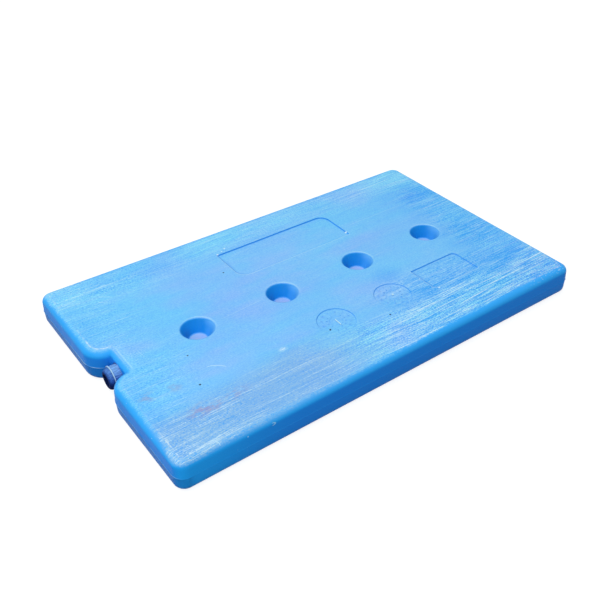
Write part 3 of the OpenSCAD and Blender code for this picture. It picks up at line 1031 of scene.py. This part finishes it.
def dial_marks(mat):
    """Plain numbers and ticks in the mould dials, a pointer and a stud, as one low relief."""
    bm = bmesh.new()
    floor = THK - DIAL_DEPTH

    def plaque(points, z0, h):
        c = np.mean(points, axis=0)
        low = [bm.verts.new(np.array((*p, z0 - 0.15)) * MM) for p in points]
        top = [bm.verts.new(np.array((*(c + (p - c) * 0.86), z0 + h)) * MM) for p in points]
        n = len(points)
        for i in range(n):
            k = (i + 1) % n
            bm.faces.new((low[i], low[k], top[k], top[i]))
        bm.faces.new(top)

    def bar(x, y, ang, length, w, h=0.3, z0=floor):
        c, s = math.cos(ang), math.sin(ang)
        pts = [(-length / 2, -w / 2), (length / 2, -w / 2), (length / 2, w / 2), (-length / 2, w / 2)]
        plaque(np.array([(x + c * a - s * b, y + s * a + c * b) for a, b in pts]), z0, h)

    count, tick_r, number_r = 12, 10.6, 16.0
    for cx, cy in DIALS:
        for k in range(count):
            a = math.pi / 2 - 2 * math.pi * k / count
            bar(cx + tick_r * math.cos(a), cy + tick_r * math.sin(a), a, 1.8, 0.5, 0.08)
            cu = bpy.data.curves.new("n", "FONT")
            cu.body = str(k + 1)
            cu.size = 3.8
            cu.align_x, cu.align_y = "CENTER", "CENTER"
            cu.extrude = 0.05
            cu.resolution_u = 2
            to = bpy.data.objects.new("n", cu)
            bpy.context.collection.objects.link(to)
            dg = bpy.context.evaluated_depsgraph_get()
            tm = bpy.data.meshes.new_from_object(to.evaluated_get(dg))
            rot = Matrix.Rotation(a - math.pi / 2, 4, "Z")
            pos = Matrix.Translation((cx + number_r * math.cos(a), cy + number_r * math.sin(a), floor + 0.02))
            tm.transform(Matrix.Scale(MM, 4) @ pos @ rot)
            bm.from_mesh(tm)
            bpy.data.objects.remove(to)
            bpy.data.curves.remove(cu)
            bpy.data.meshes.remove(tm)
    # pointer of the first dial, and the stud in the middle of the second
    first_bold = len(bm.verts)
    (cx, cy), second = DIALS
    bar(cx, cy - 2.6, math.radians(-90), 11.0, 1.1, 0.5)
    plaque(circle_loop(*second, 1.3, 20), floor, 0.6)
    bmesh.ops.recalc_face_normals(bm, faces=bm.faces)
    # painted highlight on the marks: slight on the numbers and ticks, strong on the pointer and stud
    shade = np.full(len(bm.verts), 0.12)
    shade[first_bold:] = 0.9
    me = bpy.data.meshes.new("dial_marks")
    bm.to_mesh(me)
    bm.free()
    put_values(me, "edge_run", np.full(len(me.vertices), -60.0))
    put_values(me, "lip_painted_shading", shade)
    put_values(me, "well", np.zeros(len(me.vertices)))
    me.materials.append(mat)
    ob = bpy.data.objects.new("dial_marks", me)
    bpy.context.collection.objects.link(ob)
    return ob


plate_mat = plate_material()
plug_mat = plug_material()
plate = build_plate()
cut_seat(plate)
plate.data.materials.clear()
plate.data.materials.append(plate_mat)
plug = build_plug()
plug.data.materials.append(plug_mat)
marks = dial_marks(plate_mat)
for o, node, s in ((plate, "plate", "plate_plastic"), (plug, "filler_plug", "plug_plastic")):
    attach(o, "root")
    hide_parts(node)
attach(marks, "root")


def wired(tree, kind, *values, **props):
    """A new node's first output, with its sockets in turn linked to the values or set to them."""
    n = tree.nodes.new(kind)
    for k, v in props.items():
        setattr(n, k, v)
    for sock, v in zip(n.inputs, values):
        if isinstance(v, bpy.types.NodeSocket):
            tree.links.new(v, sock)
        else:
            sock.default_value = v
    return n.outputs[0]


# Floor and backdrop: pale for the camera and in reflections, darker for the light that bounces off it
def floor_material():
    m = bpy.data.materials.new("floor")
    m.use_nodes = True
    t = m.node_tree
    t.nodes.clear()
    out = t.nodes.new("ShaderNodeOutputMaterial")
    path = t.nodes.new("ShaderNodeLightPath")
    seen = path.outputs["Is Camera Ray"]
    for ray in ("Is Glossy Ray", "Is Transmission Ray"):
        seen = wired(t, "ShaderNodeMath", seen, path.outputs[ray], operation="MAXIMUM")
    dim = wired(t, "ShaderNodeBsdfDiffuse", (0.26, 0.28, 0.30, 1))
    pale = wired(t, "ShaderNodeBsdfDiffuse", (0.27, 0.27, 0.27, 1))
    lit = wired(t, "ShaderNodeEmission", (1, 1, 1, 1), 0.85)
    both = wired(t, "ShaderNodeAddShader", pale, lit)
    t.links.new(wired(t, "ShaderNodeMixShader", seen, dim, both), out.inputs[0])
    return m


FLOOR_HALF, FLOOR_Z = 12.0, -0.0002
fm = bpy.data.meshes.new("floor")
corners = [(-1, -1), (1, -1), (1, 1), (-1, 1)]
fm.from_pydata([(a * FLOOR_HALF, b * FLOOR_HALF, FLOOR_Z) for a, b in corners], [], [(0, 1, 2, 3)])
floor = bpy.data.objects.new("floor", fm)
bpy.context.collection.objects.link(floor)
fm.materials.append(floor_material())

# World: soft light on the object, white for the camera
scene = bpy.context.scene
world = bpy.data.worlds.new("world")
scene.world = world
world.use_nodes = True
wt = world.node_tree
wt.nodes.clear()
ambient = wired(wt, "ShaderNodeBackground", (0.93, 0.97, 1.0, 1), 0.51)
white = wired(wt, "ShaderNodeBackground", (1, 1, 1, 1), 1.0)
camera_ray = wt.nodes.new("ShaderNodeLightPath").outputs["Is Camera Ray"]
world_out = wt.nodes.new("ShaderNodeOutputWorld")
wt.links.new(wired(wt, "ShaderNodeMixShader", camera_ray, ambient, white), world_out.inputs[0])


def area(name, loc, target, size, power, col=(1, 1, 1)):
    d = bpy.data.lights.new(name, "AREA")
    d.shape = "RECTANGLE"
    d.size, d.size_y = size
    d.energy = power
    d.color = col
    o = bpy.data.objects.new(name, d)
    o.location = loc
    o.rotation_mode = "QUATERNION"
    o.rotation_quaternion = (Vector(target) - Vector(loc)).to_track_quat("-Z", "Y")
    bpy.context.collection.objects.link(o)


area("key", (-0.70, 0.35, 3.3), (0, 0, 0), (2.9, 2.9), 57.0, (1.0, 0.99, 0.97))
area("fill", (-1.05, -0.75, 0.75), (-0.1, 0, 0), (0.7, 0.7), 4.2, (0.92, 0.96, 1.0))

# Camera, solved from the outline and the marks of the photographed plate
az, el, roll = math.radians(-37.74), math.radians(35.37), math.radians(0.56)
TARGET, DISTANCE = Vector((0.04082, 0.01158, 0.0)), 0.98382
FRAME_PX, FOCAL_PX, AXIS_X_PX, AXIS_Y_PX, SENSOR = 600, 807.79, 334.32, 288.10, 36.0
back = Vector((math.sin(az) * math.cos(el), -math.cos(az) * math.cos(el), math.sin(el)))
right = (-back).cross(Vector((0, 0, 1))).normalized()
upv = right.cross(-back)
r2 = math.cos(roll) * right + math.sin(roll) * upv
u2 = -math.sin(roll) * right + math.cos(roll) * upv
cam_data = bpy.data.cameras.new("camera")
cam = bpy.data.objects.new("camera", cam_data)
bpy.context.collection.objects.link(cam)
loc = TARGET + back * DISTANCE
cam.matrix_world = Matrix((
    (r2.x, u2.x, back.x, loc.x),
    (r2.y, u2.y, back.y, loc.y),
    (r2.z, u2.z, back.z, loc.z),
    (0, 0, 0, 1),
))
cam_data.sensor_width = SENSOR
cam_data.lens = FOCAL_PX * SENSOR / FRAME_PX
cam_data.shift_x = (FRAME_PX / 2 - AXIS_X_PX) / FRAME_PX
cam_data.shift_y = (AXIS_Y_PX - FRAME_PX / 2) / FRAME_PX
cam_data.clip_start, cam_data.clip_end = 0.01, 50
scene.camera = cam

scene.view_settings.view_transform = "Standard"
